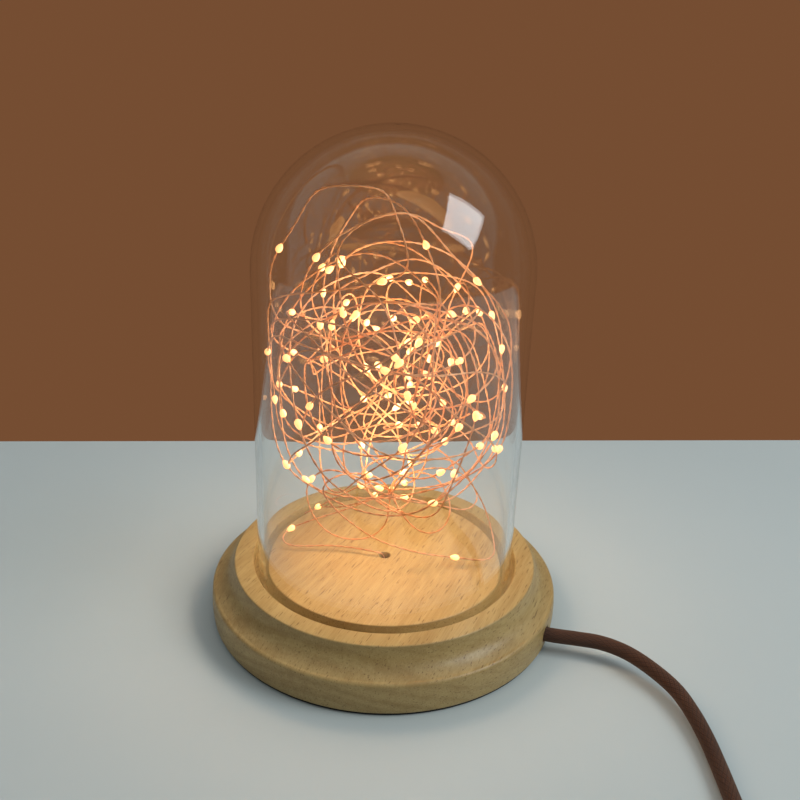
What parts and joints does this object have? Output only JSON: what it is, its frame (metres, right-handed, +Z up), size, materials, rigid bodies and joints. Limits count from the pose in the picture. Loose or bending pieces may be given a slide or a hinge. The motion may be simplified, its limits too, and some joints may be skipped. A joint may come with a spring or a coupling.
{
  "type": "bedside table lamp",
  "caption": "Table lamp: a clear glass dome stands in the groove of a turned wooden base, over a heap of copper wire string lights, fed by a textile lead with a hand switch and a plug.",
  "frame": {"origin": "middle of the pad's underside, on the table", "axes": "+Z up along the dome's axis, +X to the viewer's right, where the lead leaves the base, the viewer on the -Y side"},
  "size_m": [0.1999, 0.3094, 0.2086],
  "materials": {
    "turned_wood": "satin lacquer over fine streaky grain",
    "black_pad": "matt closed foam",
    "clear_glass": "clear, polished",
    "copper_wire": "enamelled copper, bright",
    "lit_drop": "clear resin, lit warm white",
    "white_plastic": "moulded",
    "steel": "zinc plated",
    "black_sheath": "soft sheath",
    "red_sheath": "soft sheath",
    "resistor_body": "lacquered",
    "brown_textile": "fine round braid",
    "black_strap": "hook and loop strap",
    "black_plastic": "moulded, satin",
    "brass": "bright"
  },
  "bodies": {
    "base": {"wood_base": "turned_wood", "base_pad": "black_pad", "light_string": "copper_wire", "led_drop_01": "lit_drop", "led_drop_02": "lit_drop", "led_drop_03": "lit_drop", "led_drop_04": "lit_drop", "led_drop_05": "lit_drop", "led_drop_06": "lit_drop", "led_drop_07": "lit_drop", "led_drop_08": "lit_drop", "led_drop_09": "lit_drop", "led_drop_10": "lit_drop", "led_drop_11": "lit_drop", "led_drop_12": "lit_drop", "led_drop_13": "lit_drop", "led_drop_14": "lit_drop", "led_drop_15": "lit_drop", "led_drop_16": "lit_drop", "led_drop_17": "lit_drop", "led_drop_18": "lit_drop", "led_drop_19": "lit_drop", "led_drop_20": "lit_drop", "cord_clamp": "white_plastic", "clamp_screw_1": "steel", "clamp_screw_2": "steel", "splice_sleeve": "black_sheath", "lead_negative": "black_sheath", "lead_positive_inner": "red_sheath", "lead_positive_outer": "red_sheath", "series_resistor": "resistor_body", "cord_run": "brown_textile", "cord_tail": "brown_textile", "plug_cord": "brown_textile", "cord_coil": "brown_textile", "coil_tie": "black_strap", "switch_base": "black_plastic", "switch_cover": "black_plastic", "switch_screw_1": "steel", "switch_screw_2": "steel", "switch_terminal_1": "brass", "switch_terminal_2": "brass", "plug_boot": "black_plastic", "plug_body": "black_plastic", "plug_shell": "steel", "plug_tongue": "white_plastic", "plug_contact_1": "brass", "plug_contact_2": "brass", "plug_contact_3": "brass", "plug_contact_4": "brass"},
    "dome": {"glass_dome": "clear_glass"},
    "rocker": {"switch_rocker": "black_plastic"}
  },
  "joints": [
    {"name": "dome_lift", "type": "slide", "parent": "base", "child": "dome", "axis": [0, 0, 1], "range_m": [0, 0.2]},
    {"name": "rocker_tilt", "type": "hinge", "parent": "base", "child": "rocker", "pos_m": [0.001, -0.22213, 0.013], "axis": [0, -1, 0], "range_deg": [0, 20]}
  ]
}
